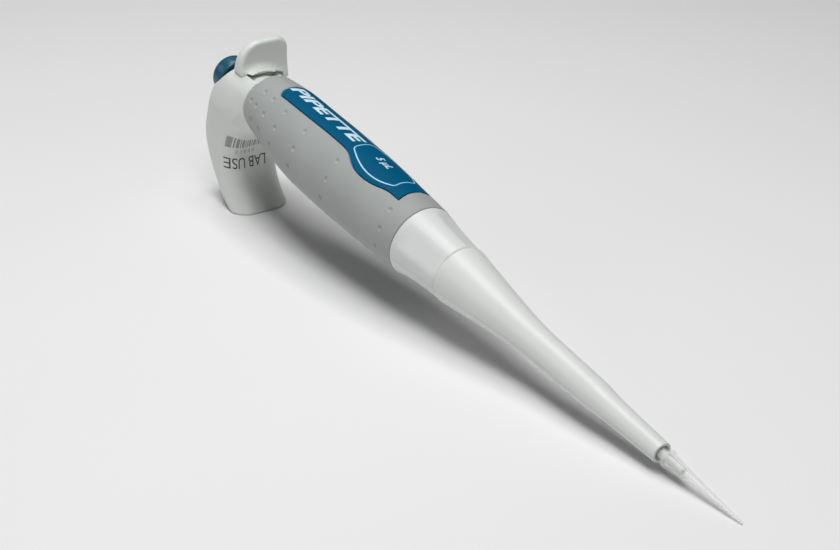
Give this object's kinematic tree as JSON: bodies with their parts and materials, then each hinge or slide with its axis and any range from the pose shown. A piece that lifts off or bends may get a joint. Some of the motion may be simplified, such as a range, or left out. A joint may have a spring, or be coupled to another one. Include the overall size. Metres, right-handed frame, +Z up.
{
  "type": "single-channel micropipette",
  "caption": "Hand-held fixed-volume micropipette with plunger button, finger hook, tip ejector and fitted tip, lying on its hook and tip.",
  "frame": {"origin": "bottom centre of the bounding box, on the bench the pipette lies on", "axes": "+X from the plunger end towards the tip, along the bench; +Z up; the finger hook stands down on the bench and its plane is the XZ plane"},
  "size_m": [0.2814, 0.0292, 0.0657],
  "materials": {
    "shell_white": "fine satin moulded plastic, off-white with a slight grey-green cast",
    "collar_white": "fine satin moulded plastic",
    "sleeve_white": "smooth satin moulded plastic",
    "paddle_white": "smooth satin moulded plastic",
    "grip_grey": "soft matt overmoulded elastomer with dimples",
    "label_blue": "glossy printed insert",
    "button_blue": "glossy moulded plastic",
    "insert_blue": "glossy moulded plastic",
    "tip_clear": "translucent polypropylene",
    "core_grey": "glass-filled moulded plastic",
    "bush_white": "low-friction acetal",
    "steel": "turned stainless steel",
    "spring_steel": "drawn spring wire",
    "seal_black": "black fluoroelastomer",
    "seal_white": "white PTFE"
  },
  "bodies": {
    "handle": {"head_shell": "shell_white", "handle_shell": "core_grey", "grip_sleeve": "grip_grey", "label_insert": "label_blue", "front_collar": "collar_white", "handle_core": "core_grey", "guide_bush": "bush_white", "calibration_nut": "steel", "lock_ring": "steel", "spring_seat": "bush_white", "coupling_nut": "steel", "nozzle_shaft": "sleeve_white", "piston_seal": "seal_white", "seal_o_ring": "seal_black", "seal_retainer": "steel", "blowout_spring": "spring_steel", "ejector_spring": "spring_steel", "piston_spring": "spring_steel"},
    "plunger": {"plunger_button": "button_blue", "button_insert": "insert_blue", "plunger_rod": "steel", "stop_collar": "steel", "piston_holder": "steel", "piston": "steel", "primary_spring": "spring_steel"},
    "blowout": {"blowout_hat": "bush_white"},
    "ejector": {"ejector_paddle": "paddle_white", "ejector_strip": "steel", "link_pin": "steel", "sleeve_ring": "bush_white", "ejector_sleeve": "sleeve_white"},
    "tip": {"pipette_tip": "tip_clear"}
  },
  "joints": [
    {"name": "plunger_slide", "type": "slide", "parent": "handle", "child": "plunger", "axis": [0.9856, 0, -0.169], "range_m": [0, 0.0096], "stiffness_N_per_m": 500, "springref_m": -0.004, "deforming": ["primary_spring", "piston_spring"]},
    {"name": "blowout_slide", "type": "slide", "parent": "handle", "child": "blowout", "axis": [0.9856, 0, -0.169], "range_m": [0, 0.0032], "deforming": ["blowout_spring"]},
    {"name": "ejector_slide", "type": "slide", "parent": "handle", "child": "ejector", "axis": [0.9856, 0, -0.169], "range_m": [0, 0.005], "stiffness_N_per_m": 600, "springref_m": -0.003, "deforming": ["ejector_spring"]},
    {"name": "tip_slide", "type": "slide", "parent": "ejector", "child": "tip", "axis": [0.9856, 0, -0.169], "range_m": [0, 0.013]}
  ],
  "couplings": [
    {"joint": "blowout_slide", "follows": "plunger_slide", "ratio": 0.3333}
  ]
}
